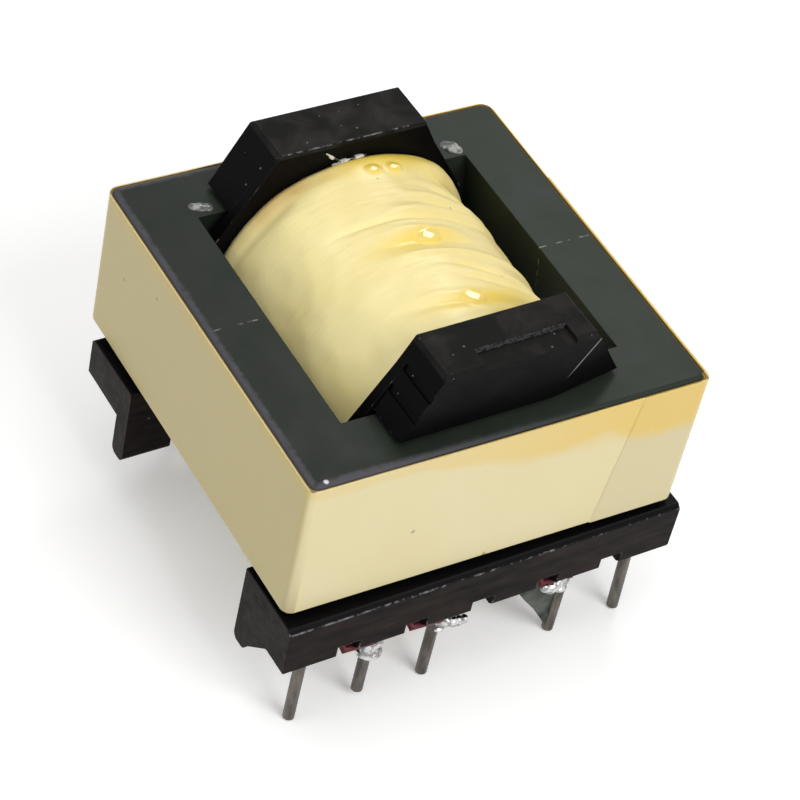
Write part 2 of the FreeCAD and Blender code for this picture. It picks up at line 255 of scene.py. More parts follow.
# A painted glint: a small white spot at the front left corner.
flat_place = node(tree, "CombineXYZ", {"X": axes.outputs["X"], "Y": axes.outputs["Y"]}).outputs[0]
ends = {0: flat_place, 1: painted_glint_place_mm + (0,)}
to_painted_glint = node(tree, "VectorMath", ends, operation="DISTANCE").outputs["Value"]
painted_glint = ramp(tree, to_painted_glint, painted_glint_radius_mm, painted_glint_radius_mm / 2)
colour = blend(tree, painted_glint, colour, PAINTED_GLINT_WHITE)
# Glue has squeezed out of the joint between the halves in a fine broken line.
at_joint = ramp(tree, along_y, joint_line_mm, joint_line_mm / 2)
broken = ramp(tree, ragged, 0.48, 0.6)
glue = maths(tree, "MULTIPLY", at_joint, broken)
colour = blend(tree, glue, colour, JOINT_GLUE)
gloss = ramp(tree, cloud, 0.3, 0.7, *ferrite_gloss)
grit = bumps(tree, grain, strength=0.25, depth_mm=0.03)
surface(tree, Base_Color=colour, Roughness=gloss, IOR=1.75, Specular_IOR_Level=0.05, Normal=grit)
eased_copy("core_half_front", "ferrite_half_front", ferrite, ground_edge_mm)
eased_copy("core_half_back", "ferrite_half_back", ferrite, ground_edge_mm)

# Bobbin
# One moulding of black glass-filled phenolic: the spool with its two cheeks, the blocks over the yokes
# and the rails that grip the pins. Its block tops are matt and specked where the mould was worn, its
# edges are scuffed pale by handling and carry painted highlights, and the rails' upward faces are kept
# black as painted shade.
moulded_edge_mm = 0.07
# Heights where the browned rails end and where the matt block tops start.
rail_fade_mm = (6.6, 6.3)
top_fade_mm = (22.55, 22.65)
# Specks: how rare they are on the sides and on the block tops, from 0 to 1, their radius in cells of the
# pattern, and how pale they are.
speck_scale = 1.3
speck_rare = 0.9
speck_rare_on_top = 0.45
speck_reach = (0.05, 0.1)
speck_share = 0.55
side_gloss = (0.3, 0.46)
top_gloss = 0.62
PHENOLIC_BLACK = "#0a090a"
PHENOLIC_BROWN = "#2a211d"
PHENOLIC_MATT = "#181817"
PHENOLIC_SMEAR = "#302d2c"
SCUFF_AND_HIGHLIGHT_GREY = "#8a878c"
DUST = "#8f8d88"
RIM_GREY = "#4c4a4c"
# The recess in the front block: its back rim, its ends and how far chips reach.
recess_rim_mm = -9.77
recess_ends_mm = (-2.7, 3.9)
rim_reach_mm = 0.16
# The facet's edge on the block's front: X and Z of its foot, its lean in mm a mm of height, the width of the
# pale line, and the heights between which it fades in.
block_front_mm = -11.27
facet_foot_mm = (2.9, 18.2)
facet_lean = 0.666
facet_line_mm = 0.06
facet_fade_mm = (19.6, 20.6)
facet_share = 0.9

phenolic, tree = new_material("moulded_phenolic")
place = millimetres(tree)
axes = node(tree, "SeparateXYZ", {0: place})
height = axes.outputs["Z"]
smear = clouds(tree, place, scale=0.45, detail=6, distortion=0.6)
fine = clouds(tree, place, scale=5, detail=5)
drawn = node(tree, "Mapping", {"Vector": place, "Scale": (0.35, 1.5, 1.5)}).outputs[0]
streak = clouds(tree, drawn, scale=1.0, detail=5)
on_rail = ramp(tree, height, *rail_fade_mm)
brown_part = ramp(tree, streak, 0.3, 0.75)
upright = node(tree, "SeparateXYZ", {0: node(tree, "NewGeometry").outputs["Normal"]}).outputs["Z"]
# Upward faces of the rails, under the tape's edge, stay black as painted shade; the brown goes only on their
# sides.
sides_out_of_painted_shade = ramp(tree, upright, 0.35, 0.15)
brown = maths(tree, "MULTIPLY", on_rail, brown_part)
brown = maths(tree, "MULTIPLY", brown, sides_out_of_painted_shade)
on_top = ramp(tree, height, *top_fade_mm)
black = blend(tree, brown, PHENOLIC_BLACK, PHENOLIC_BROWN)
smeared = ramp(tree, smear, 0.42, 0.68, high=0.85)
top = blend(tree, smeared, PHENOLIC_MATT, PHENOLIC_SMEAR)
body = blend(tree, on_top, black, top)
cells = node(tree, "TexVoronoi", {"Vector": place, "Scale": speck_scale, "Randomness": 1})
pick = node(tree, "SeparateColor", {0: cells.outputs["Color"]}).outputs[0]
rare = between(tree, on_top, speck_rare, speck_rare_on_top)
chosen = maths(tree, "GREATER_THAN", pick, rare)
reach = ramp(tree, pick, speck_rare_on_top, 1.0, *speck_reach)
near = maths(tree, "LESS_THAN", cells.outputs["Distance"], reach)
speck = maths(tree, "MULTIPLY", chosen, near)
speck_soft = maths(tree, "MULTIPLY", speck, speck_share)
dusty = blend(tree, speck_soft, body, DUST)
rough_base = ramp(tree, smear, 0.3, 0.7, *side_gloss)
roughness = between(tree, on_top, rough_base, top_gloss)
pitted = maths(tree, "ADD", fine, speck)
relief = bumps(tree, pitted, strength=0.35, depth_mm=0.05)
# Chips along the back rim of the recess.
off_rim = maths(tree, "SUBTRACT", axes.outputs["Y"], recess_rim_mm)
off_rim = maths(tree, "ABSOLUTE", off_rim)
rim_share = ramp(tree, off_rim, rim_reach_mm, 0, high=0.35)
rim_share = maths(tree, "MULTIPLY_ADD", fine, 0.75, rim_share)
rim = ramp(tree, rim_share, 0.6, 0.75)
for operation, limit in (("GREATER_THAN", recess_ends_mm[0]), ("LESS_THAN", recess_ends_mm[1])):
    inside = maths(tree, operation, axes.outputs["X"], limit)
    rim = maths(tree, "MULTIPLY", rim, inside)
rim = maths(tree, "MULTIPLY", rim, on_top)
wear_and_highlight = blend(tree, rim, dusty, RIM_GREY)
# The edge of the facet, a fine pale line on its upper half: scuffed, and partly a painted highlight of the
# lamp.
up_line = maths(tree, "SUBTRACT", height, facet_foot_mm[1])
line_x = maths(tree, "MULTIPLY_ADD", up_line, facet_lean, facet_foot_mm[0])
off_line = maths(tree, "SUBTRACT", axes.outputs["X"], line_x)
off_line = maths(tree, "ABSOLUTE", off_line)
line = ramp(tree, off_line, facet_line_mm * 1.5, facet_line_mm / 2)
in_front = maths(tree, "LESS_THAN", axes.outputs["Y"], block_front_mm + 0.1)
line = maths(tree, "MULTIPLY", line, in_front)
upper = ramp(tree, height, *facet_fade_mm, high=facet_share)
line = maths(tree, "MULTIPLY", line, upper)
wear_and_highlight = blend(tree, line, wear_and_highlight, SCUFF_AND_HIGHLIGHT_GREY)
surface(tree, Base_Color=wear_and_highlight, Roughness=roughness, IOR=1.6, Specular_IOR_Level=0.03, Normal=relief)

# The same phenolic on the rounded edges: scuffed pale, rough and broken by handling and the breaking of
# flash, and partly painted highlights where the edges catch the light. The pale marks grow likelier
# leftwards between two places in X, and in patches.
scuff_highlight_x_mm = (4, -12)
scuff_highlight_chance = (0.02, 0.14)
patch_chance = 0.35
scuff_highlight_limits = (0.72, 0.9)
scuff_highlight_share = 0.65
scuffed_and_highlit, tree = new_material("scuffed_highlit_phenolic")
place = millimetres(tree)
axes = node(tree, "SeparateXYZ", {0: place})
edge_marks = clouds(tree, place, scale=2.4, detail=5)
patches = clouds(tree, place, scale=0.3, detail=2)
leftwards = ramp(tree, axes.outputs["X"], *scuff_highlight_x_mm, *scuff_highlight_chance)
chance = maths(tree, "ADD", edge_marks, leftwards)
chance = maths(tree, "MULTIPLY_ADD", patches, patch_chance, chance)
# Regions in mm, X, Y and Z from and to, and how much likelier pale scuffs and painted highlights are there:
# the upper edge of the rails' chamfer, the blocks and the back block's inner top edge.
scuff_highlight_regions = (
    ((-20, 20), (-20, 20), (6.2, 7), -1.0),
    ((-9, 9), (-20, 20), (17, 30), -0.16),
    ((-20, 20), (9.4, 9.9), (22.8, 30), 0.2),
)
for spans in scuff_highlight_regions:
    inside = spans[3]
    for axis, (start, end) in zip("XYZ", spans):
        past = maths(tree, "GREATER_THAN", axes.outputs[axis], start)
        short = maths(tree, "LESS_THAN", axes.outputs[axis], end)
        within = maths(tree, "MULTIPLY", past, short)
        inside = maths(tree, "MULTIPLY", within, inside)
    chance = maths(tree, "ADD", chance, inside)
pale = ramp(tree, chance, *scuff_highlight_limits, high=scuff_highlight_share)
colour = blend(tree, pale, PHENOLIC_BLACK, SCUFF_AND_HIGHLIGHT_GREY)
surface(tree, Base_Color=colour, Roughness=0.5, IOR=1.6, Specular_IOR_Level=0.08)
moulding = eased_copy("bobbin", "bobbin_moulding", phenolic, moulded_edge_mm)
moulding.data.materials.append(scuffed_and_highlit)
moulding.modifiers["eased edges"].material = 1

# Windings inside
# Enamelled copper wire wound on the spool in three layers, with a turn of polyester film tape between them.
# The wrap and the cheeks close them in, so the plain CAD solids stay and only get their materials.
wire_pitch_mm = 0.5
# A wave texture goes through this many radians a unit at a scale of 1.
wave_radians = 20
ENAMEL_RED = "#8d3a22"
ENAMEL_DARK = "#5a2015"
FILM_CREAM = "#e8dca4"
FILM_SHADE = "#dccd90"

# Enamelled copper: clear red-brown enamel over bright wire, glossy, ribbed turn by turn.
enamelled_copper, tree = new_material("enamelled_copper")
place = millimetres(tree)
pitch = {"Vector": place, "Scale": 2 * math.pi / wire_pitch_mm / wave_radians}
turns = node(tree, "TexWave", pitch, bands_direction="Y").outputs["Fac"]
mottle = clouds(tree, place, scale=1.2, detail=3)
colour = blend(tree, mottle, ENAMEL_DARK, ENAMEL_RED)
ribs = bumps(tree, turns, strength=0.6, depth_mm=0.1)
surface(tree, Base_Color=colour, Metallic=0.35, Roughness=0.28, Coat_Weight=0.6, Coat_Roughness=0.1,
        Normal=ribs)

# Polyester film tape between the layers: thin, smooth, cream.
inner_film, tree = new_material("polyester_film_inner")
place = millimetres(tree)
mottle = clouds(tree, place, scale=0.8, detail=3)
colour = blend(tree, mottle, FILM_SHADE, FILM_CREAM)
surface(tree, Base_Color=colour, Roughness=0.35)

for name in ("primary_winding_inner", "secondary_winding", "primary_winding_outer"):
    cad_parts[name].data.materials[0] = enamelled_copper
for name in ("insulation_tape_inner", "insulation_tape_outer"):
    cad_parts[name].data.materials[0] = inner_film

# Winding wrap
# Several turns of cream polyester film tape are wound over the windings by hand. The film is wider than the
# spool, so it crumples into folds along its turns, mostly on the right. The part was dipped in varnish,
# which has pooled yellow in the hollows and set glossy.
wrap_low, wrap_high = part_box("winding_wrap")
wrap_centre_z = (wrap_low.z + wrap_high.z) / 2
wrap_radius_mm = 9.27
wrap_inner_mm = 8.87
around = 360
along = 160
# The film's soft waves: their scale round and along the barrel, their height, and how far their mean lies
# below the wrap's radius. Finer waves ride on them.
wave_round = 2.2
wave_along = 0.22
wave_mm = 0.16
waves_below_mm = 0.12
fine_wave_gain = 3.1
fine_wave_mm = 0.05
# The film stands off on the right, and flares where it meets the back cheek, mostly on the right. Angles are
# in degrees from the top, clockwise seen from the front.
right_ends = (78, 112)
stand_off_from = (20, 55)
stand_off_mm = 0.2
flare_from = (0, 45)
flare_y_mm = (7.2, 9.0)
flare_left_mm = 0.04
flare_right_mm = 0.41
# At each end the film turns in by the first value, over the second.
front_turn_mm = (0.35, 0.5)
back_turn_mm = (0.15, 0.4)
# A fold grows and fades over these angles.
fold_grows = 22
fold_fades = 14
fold_gain = 1.25
# Each fold: Y at the top of the barrel, lean along the turn in mm a degree, the angles from the top between
# which it runs, half its width and its height in mm, below zero for a hollow.
folds = (
    (3.66, -0.016, -32, 75, 0.22, -0.20),
    (4.35, -0.012, -8, 75, 0.38, 0.13),
    (5.05, -0.022, 8, 80, 0.24, -0.15),
    (6.10, -0.030, 4, 80, 0.30, 0.12),
    (7.20, -0.034, 14, 80, 0.26, -0.13),
    (2.55, -0.030, -16, 30, 0.32, 0.13),
    (1.35, -0.020, -20, 34, 0.55, -0.16),
    (0.25, -0.024, -18, 78, 0.30, 0.14),
    (-0.65, -0.052, -2, 80, 0.24, -0.17),
    (-1.35, -0.055, 4, 80, 0.30, 0.12),
    (-2.05, -0.044, 2, 80, 0.22, -0.14),
    (-2.85, -0.040, 8, 80, 0.30, 0.12),
    (-4.30, -0.034, -34, 40, 0.42, -0.18),
    (-3.75, -0.030, -26, 60, 0.45, 0.10),
    (-5.75, -0.020, -8, 60, 0.65, -0.12),
    (8.35, 0.000, -75, -24, 0.50, -0.16),
    (9.20, -0.010, -80, 30, 0.40, 0.08),
    (16.4, -0.260, 28, 44, 0.30, -0.16),
)
# Each pool of varnish: angle from the top, Y, its half sizes in degrees and mm, and its depth of colour, up
# to 1.
pools = (
    (2, 1.45, 23, 1.15, 1.0),
    (14, -4.45, 30, 0.95, 1.0),
    (30, -6.0, 28, 1.5, 0.9),
    (12, 8.95, 42, 1.2, 1.0),
    (-34, 9.1, 24, 1.0, 0.9),
    (40, 7.6, 14, 1.3, 0.55),
    (150, 1.1, 60, 7.0, 0.35),
)
# Each drop: angle from the top, Y, radius in mm, how far its crest stands from the axis of the spool, and
# its fall from the crest to its rim in mm. A drop is smooth, stands level and fills the folds under it.
drops = (
    (7.0, 1.60, 0.95, 9.23, 0.055),
    (6.3, -4.30, 0.95, 9.20, 0.055),
    (5.4, 8.20, 0.62, 9.31, 0.040),
    (14.7, 8.10, 0.62, 9.42, 0.040),
)
# Along the barrel a drop is this much narrower than round it.
drop_squash = 0.75
# The crest falls a little towards the front, in mm a mm.
drop_fall = 0.056
# Where the film is painted darker and yellower as shade, towards the right, and where its varnish is
# brown, at the back left.
right_shade_x_mm = (-5, 2.5)
brown_x_mm = (0.5, -4)
brown_y_mm = (6.5, 8.5)
varnish_share = 0.78
wrap_gloss = (0.42, 0.28)
drop_gloss = 0.06
drop_coat = 0.5
FILM_LIT = "#fceeb2"
FILM_DULL = "#f6e498"
RIGHT_SHADE_PALE = "#eedd98"
RIGHT_SHADE_DEEP = "#e4d187"
VARNISH_GOLD = "#eccb3f"
VARNISH_BROWN = "#cfa64f"
WRAP_DIRT = "#6b5f3c"


def rise(value, start, end):
    """0 before start, 1 past end, and a soft slope between them."""
    share = min(1, max(0, (value - start) / (end - start)))
    return share * share * (3 - 2 * share)


def wrap_shape(angle, y):
    """Radius in mm, and shares of pooled varnish and of drop, at an angle from the top and a Y in mm."""
    turn = math.radians(angle)
    spot = Vector((math.sin(turn) * wave_round, math.cos(turn) * wave_round, y * wave_along))
    radius = wrap_radius_mm - waves_below_mm + wave_mm * noise.noise(spot)
    radius += fine_wave_mm * noise.noise(spot * fine_wave_gain)
    for top_y, lean, first, last, half_width, lift in folds:
        away = (y - top_y - lean * angle) / half_width
        run = rise(angle, first, first + fold_grows) * (1 - rise(angle, last - fold_fades, last))
        radius += fold_gain * lift * run * math.exp(-away * away)
    on_right = 1 - rise(angle, *right_ends)
    radius += stand_off_mm * rise(angle, *stand_off_from) * on_right
    flare_mm = flare_left_mm + flare_right_mm * rise(angle, *flare_from) * on_right
    radius += flare_mm * rise(y, *flare_y_mm)
    wet = 0
    for at_angle, at_y, half_angle, half_y, depth in pools:
        away = math.hypot((angle - at_angle) / half_angle, (y - at_y) / half_y)
        wet = max(wet, depth * (1 - rise(away, 0.1, 1.3)))
    from_front, from_back = y - wrap_low.y / MM, wrap_high.y / MM - y
    for from_end, (deep, over) in ((from_front, front_turn_mm), (from_back, back_turn_mm)):
        radius -= deep * (1 - rise(from_end, 0, over)) ** 2
    bead = 0
    for at_angle, at_y, drop_radius, level, bulge in drops:
        around_mm = math.radians(angle - at_angle) * wrap_radius_mm
        away = math.hypot(around_mm, (y - at_y) / drop_squash) / drop_radius
        filled = 1 - rise(away, 0.6, 1.15)
        crest = level + math.tan(math.radians(at_angle)) * around_mm + drop_fall * (y - at_y)
        radius = radius * (1 - filled) + (crest - bulge * away * away) * filled
        wet = max(wet, 1 - rise(away, 0.7, 1.3))
        bead = max(bead, 1 - rise(away, 0.55, 0.8))
    return max(radius, wrap_inner_mm + 0.05), wet, bead


# Polyester film wrap under varnish: cream, folded, glossy, deep yellow where the varnish is thick, and
# painted darker towards the right as shade.
varnished_film, tree = new_material("varnished_polyester_film")
place = millimetres(tree)
wet = node(tree, "Attribute", attribute_name="varnish").outputs["Fac"]
mottle = clouds(tree, place, scale=0.28, detail=4)
axes = node(tree, "SeparateXYZ", {0: place})
leftwards = ramp(tree, axes.outputs["X"], *brown_x_mm)
backwards = ramp(tree, axes.outputs["Y"], *brown_y_mm)
patchy = maths(tree, "MULTIPLY", leftwards, backwards)
film = blend(tree, mottle, FILM_DULL, FILM_LIT)
# Painted shade: towards the right the film is darker and yellower.
yellower = blend(tree, mottle, RIGHT_SHADE_DEEP, RIGHT_SHADE_PALE)
rightwards = ramp(tree, axes.outputs["X"], *right_shade_x_mm, interpolation_type="SMOOTHSTEP")
film = blend(tree, rightwards, film, yellower)
gold = blend(tree, patchy, VARNISH_GOLD, VARNISH_BROWN)
depth = maths(tree, "MULTIPLY", wet, varnish_share)
colour = blend(tree, depth, film, gold)
dry = ramp(tree, wet, 0.1, 0.7, 1.0, 0.0)
cells = node(tree, "TexVoronoi", {"Vector": place, "Scale": 0.42, "Randomness": 1})
dirt = ramp(tree, cells.outputs["Distance"], 0.05, 0.02, high=0.5)
dirt = maths(tree, "MULTIPLY", dirt, dry)
colour = blend(tree, dirt, colour, WRAP_DIRT)
gloss = ramp(tree, wet, 0, 1, *wrap_gloss)
bead = node(tree, "Attribute", attribute_name="drop").outputs["Fac"]
gloss = between(tree, bead, gloss, drop_gloss)
coat = maths(tree, "MULTIPLY", bead, drop_coat)
crinkle = node(tree, "Mapping", {"Vector": place, "Scale": (0.35, 1.6, 0.35)}).outputs[0]
crinkled = clouds(tree, crinkle, scale=1.4, detail=4, distortion=0.4)
strength = maths(tree, "MULTIPLY", dry, 0.35)
relief = bumps(tree, crinkled, strength=strength, depth_mm=0.12)
surface(tree, Base_Color=colour, Roughness=gloss, IOR=1.55, Coat_Weight=coat, Coat_Roughness=drop_gloss,
        Normal=relief)

shape = bmesh.new()
wetness = shape.verts.layers.float.new("varnish")
drop_share = shape.verts.layers.float.new("drop")
length = wrap_high.y - wrap_low.y
wrap_centre = (0, (wrap_low.y + wrap_high.y) / 2, wrap_centre_z)
lying = Matrix.Translation(wrap_centre) @ Matrix.Rotation(math.pi / 2, 4, "X")
bmesh.ops.create_cone(shape, segments=around, radius1=wrap_radius_mm * MM, radius2=wrap_radius_mm * MM,
                      depth=length, matrix=lying)
lengthwise = [edge for edge in shape.edges if abs(edge.verts[0].co.y - edge.verts[1].co.y) > length / 2]
bmesh.ops.subdivide_edges(shape, edges=lengthwise, cuts=along, use_grid_fill=True)
for vert in shape.verts:
    angle = math.degrees(math.atan2(vert.co.x, vert.co.z - wrap_centre_z))
    radius, wet_share, in_drop = wrap_shape(angle, vert.co.y / MM)
    vert.co.x = radius * MM * math.sin(math.radians(angle))
    vert.co.z = wrap_centre_z + radius * MM * math.cos(math.radians(angle))
    vert[wetness] = wet_share
    vert[drop_share] = in_drop
rims = [edge for edge in shape.edges if edge.is_boundary]
turned_in = bmesh.ops.extrude_edge_only(shape, edges=rims)
inner_verts = [item for item in turned_in["geom"] if isinstance(item, bmesh.types.BMVert)]
for vert in inner_verts:
    outward = Vector((vert.co.x, 0, vert.co.z - wrap_centre_z)).normalized()
    vert.co.x = outward.x * wrap_inner_mm * MM
    vert.co.z = wrap_centre_z + outward.z * wrap_inner_mm * MM
bmesh.ops.bridge_loops(shape, edges=[edge for edge in shape.edges if edge.is_boundary])
bmesh.ops.recalc_face_normals(shape, faces=shape.faces)
wrap = new_piece("crumpled_wrap", shape, varnished_film)
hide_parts("winding_wrap")

# Core tape
# Two turns of cream polyester tape pull the core halves together. The end laps over the start on the front
# face, cut on a slant. Varnish has run down from the top edge and stained it gold.
tape_low, tape_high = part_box("core_tape")
tape_top_mm = (tape_high.z - core_centre.z) / MM
tape_turn_mm = 0.2
tape_ease_mm = 0.03
tape_corner_mm = 0.5
back_corner_mm = 0.78
corner_steps = 12
tape_foot_mm = (tape_low.z - core_centre.z) / MM
edge_waver_mm = 0.05
edge_waver_scale = 0.3
# The lap: its thickness, where its slanted end stands on the front face, how far it leans from foot to top,
# how far back it runs on the right face, and the length of the step at its ends.
lap_mm = 0.08
lap_x_mm = 8.65
lap_lean_mm = 1.4
lap_back_mm = 6.0
lap_step_mm = 0.08
# Columns of vertices stand this close to the corners, and at these places in X on the front.
near_corner_mm = 0.1
front_stops_mm = (-7, 0, 6)
# The stain: from left to right between two places in X it reaches further down and grows stronger.
stain_x_mm = (-9, 10)
stain_reach_mm = (0.8, 3.9)
stain_uneven = (0.75, 1.2)
stain_strong_x_mm = (-9, 8)
stain_strength = (0.25, 0.75)
brown_line_mm = 0.07
TAPE_CREAM = "#e3d8ad"
TAPE_WARM = "#e0d1a2"
TAPE_LEFT_SHADE = "#cbbd88"
TAPE_LAP = "#d6c99f"
TAPE_GOLD = "#e4c05a"
TAPE_BROWN = "#6e4a1d"
TAPE_DIRT = "#7a6e4a"

# Polyester tape: smooth, slightly glossy cream film with soft ripples, stained gold where varnish soaked in,
# and painted darker on its left face as shade.
core_film, tree = new_material("polyester_core_tape")
place = millimetres(tree, core_centre, core_turn)
axes = node(tree, "SeparateXYZ", {0: place})
below_top = maths(tree, "SUBTRACT", tape_top_mm, axes.outputs["Z"])
mottle = clouds(tree, place, scale=0.16, detail=4)
ragged = clouds(tree, place, scale=0.22, detail=1)
film = blend(tree, mottle, TAPE_CREAM, TAPE_WARM)
# The left face is painted darker and yellower as shade. The adhesive under the lap makes the lap greyer.
left_face_shade = ramp(tree, axes.outputs["X"], -core_length_mm / 2, -core_length_mm / 2 - 0.15)
film = blend(tree, left_face_shade, film, TAPE_LEFT_SHADE)
lapped = node(tree, "Attribute", attribute_name="lap").outputs["Fac"]
film = blend(tree, lapped, film, TAPE_LAP)
# The stain on the front face reaches lower towards the right.
stain_reach = ramp(tree, axes.outputs["X"], *stain_x_mm, *stain_reach_mm)
uneven_reach = ramp(tree, ragged, 0.3, 0.7, *stain_uneven)
reach = maths(tree, "MULTIPLY", stain_reach, uneven_reach)
stain_share = maths(tree, "DIVIDE", below_top, reach)
yellower = ramp(tree, stain_share, 1.15, 0.7, interpolation_type="SMOOTHSTEP")
strength = ramp(tree, axes.outputs["X"], *stain_strong_x_mm, *stain_strength)
stain = maths(tree, "MULTIPLY", yellower, strength)
rim = ramp(tree, below_top, 0.5, 0.1, high=0.25)
gold_share = maths(tree, "MAXIMUM", stain, rim)
gold = blend(tree, gold_share, film, TAPE_GOLD)
# On the cut edge, varnish has dried brown in the corner against the ferrite.
across_x = maths(tree, "ABSOLUTE", axes.outputs["X"])
across_y = maths(tree, "ABSOLUTE", axes.outputs["Y"])
past_x = maths(tree, "SUBTRACT", across_x, core_length_mm / 2)
past_y = maths(tree, "SUBTRACT", across_y, core_depth_mm / 2)
from_ferrite = maths(tree, "MAXIMUM", past_x, past_y)
near_ferrite = ramp(tree, from_ferrite, brown_line_mm * 1.5, brown_line_mm / 2)
at_top = ramp(tree, below_top, 0.12, 0.06, high=0.85)
cut_edge = maths(tree, "MULTIPLY", near_ferrite, at_top)
colour = blend(tree, cut_edge, gold, TAPE_BROWN)
cells = node(tree, "TexVoronoi", {"Vector": place, "Scale": 0.22, "Randomness": 1})
dirt = ramp(tree, cells.outputs["Distance"], 0.045, 0.02, high=0.6)
colour = blend(tree, dirt, colour, TAPE_DIRT)
ripple = clouds(tree, place, scale=0.35, detail=3)
relief = bumps(tree, ripple, strength=0.3, depth_mm=0.15)
surface(tree, Base_Color=colour, Roughness=0.36, IOR=1.5, Specular_IOR_Level=0.25, Normal=relief)


def tape_columns():
    """Places round the core: X and Y on its face, the way out, lean with height, and share of the lap."""
    side_x, side_y = core_length_mm / 2, core_depth_mm / 2
    front_x, front_y = side_x - tape_corner_mm, side_y - tape_corner_mm
    back_x, back_y = side_x - back_corner_mm, side_y - back_corner_mm
    near = near_corner_mm
    front = [(x, 0, 0) for x in (-front_x + near,) + front_stops_mm]
    front += [(lap_x_mm - lap_step_mm, 1, 0), (lap_x_mm, 1, 1), (front_x - near, 0, 1)]
    right = [(-front_y + near, 1), (lap_back_mm - lap_step_mm, 1), (lap_back_mm, 0), (back_y - near, 0)]
    columns = [(x, -side_y, 0, -1, lean, lap) for x, lean, lap in front]
    columns += corner(front_x, -front_y, -90, 1, tape_corner_mm)
    columns += [(side_x, y, 1, 0, 0, lap) for y, lap in right]
    columns += corner(back_x, back_y, 0, 0, back_corner_mm)
    columns += [(x, side_y, 0, 1, 0, 0) for x in (back_x - near, -back_x + near)]
    columns += corner(-back_x, back_y, 90, 0, back_corner_mm)
    columns += [(-side_x, y, -1, 0, 0, 0) for y in (back_y - near, -front_y + near)]
    columns += corner(-front_x, -front_y, 180, 0, tape_corner_mm)
    return columns


def corner(x, y, start, lap, radius):
    """Columns round one corner of the core, anticlockwise from a direction in degrees."""
    found = []
    for step in range(corner_steps + 1):
        turn = math.radians(start + 90 * step / corner_steps)
        out_x, out_y = math.cos(turn), math.sin(turn)
        found.append((x + radius * out_x, y + radius * out_y, out_x, out_y, 0, lap))
    return found


shape = bmesh.new()
lap_share = shape.verts.layers.float.new("lap")
to_core = Matrix.Translation(core_centre) @ Matrix.Rotation(core_turn, 4, "Z") @ Matrix.Scale(MM, 4)
rows = []
for x, y, out_x, out_y, lean, lap in tape_columns():
    thick = tape_turn_mm + lap * lap_mm
    waver = noise.noise(Vector((x * edge_waver_scale, y * edge_waver_scale, 0)))
    top = tape_top_mm - edge_waver_mm * (0.5 + 0.5 * waver)
    middle = (top + tape_foot_mm) / 2
    # Up the outer side and down the inner one.
    profile = [(0, tape_foot_mm), (thick - tape_ease_mm, tape_foot_mm), (thick, tape_foot_mm + tape_ease_mm)]
    profile += [(thick, middle), (thick, top - tape_ease_mm), (thick - tape_ease_mm, top)]
    profile += [(0, top), (0, middle)]
    row = []
    for out, z in profile:
        slide = lean * lap_lean_mm * (z - middle) / (top - tape_foot_mm)
        vert = shape.verts.new(to_core @ Vector((x + out * out_x + slide, y + out * out_y, z)))
        vert[lap_share] = lap
        row.append(vert)
    rows.append(row)
for first, second in zip(rows, rows[1:] + rows[:1]):
    for step in range(len(first)):
        other = (step + 1) % len(first)
        shape.faces.new((first[step], second[step], second[other], first[other]))
bmesh.ops.recalc_face_normals(shape, faces=shape.faces)
band = new_piece("core_tape_band", shape, core_film)
band.modifiers.new("flat faces", "WEIGHTED_NORMAL")
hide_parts("core_tape")

# Pins
# Ten pins of tinned steel wire are pressed up into the rails. The dip coat of tin is dull and streaked
# along the pin.
TIN_GREY = "#736e67"
TIN_DULL = "#524e4a"

# Hot-tinned steel: soft grey metal, streaked lengthwise, darker where flux has dried.
tinned_steel, tree = new_material("hot_tinned_steel")
place = millimetres(tree)
drawn = node(tree, "Mapping", {"Vector": place, "Scale": (3, 3, 0.6)}).outputs[0]
streak = clouds(tree, drawn, scale=1.0, detail=4)
tin_share = ramp(tree, streak, 0.35, 0.65)
colour = blend(tree, tin_share, TIN_DULL, TIN_GREY)
gloss = ramp(tree, streak, 0, 1, 0.28, 0.5)
relief = bumps(tree, streak, strength=0.4, depth_mm=0.06)
surface(tree, Base_Color=colour, Metallic=1.0, Roughness=gloss, Normal=relief)
for number in (1, 2, 3, 5, 6, 7, 8, 9, 10, 11):
    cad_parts["pin_%d" % number].data.materials[0] = tinned_steel

# Lead wires
# The ends of the windings, single enamelled copper wires that leave under the wrap, lie in the grooves of
# the rails and are wound on their pins. The enamel is pinkish red.
LEAD_RED = "#782f36"
LEAD_DARK = "#2c0f11"

# Lead enamel: glossy red varnish on copper wire, scorched darker in patches.
lead_enamel, tree = new_material("red_lead_enamel")
place = millimetres(tree)
scorch = clouds(tree, place, scale=1.5, detail=3)
colour = blend(tree, scorch, LEAD_DARK, LEAD_RED)
surface(tree, Base_Color=colour, Roughness=0.35, Specular_IOR_Level=0.2)
wired = (2, 3, 5, 8, 10, 11)
for number in wired:
    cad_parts["lead_wire_%d" % number].data.materials[0] = lead_enamel

# Solder joints
# Each wound pin was dipped in solder by hand, which froze over the turns of its lead as a bright uneven lump.
solder_grain_mm = 0.07
solder_turns = 3
swell_shares = (0.8, 1.0)
jitter_mm = 0.08
smooth_rounds = 6
flattened = Matrix.Diagonal((1, 1, 0.5, 1))
# On pins 3 and 5 the solder froze beside the pin: X, Y and Z in mm, and its share of the joint's radius.
drawn_aside = {3: ((0.25, -0.1, 0.25), 0.62), 5: ((-0.35, -0.1, 0.3), 0.75)}
SOLDER_BRIGHT = "#cfcfd0"
SOLDER_DULL = "#908f8e"
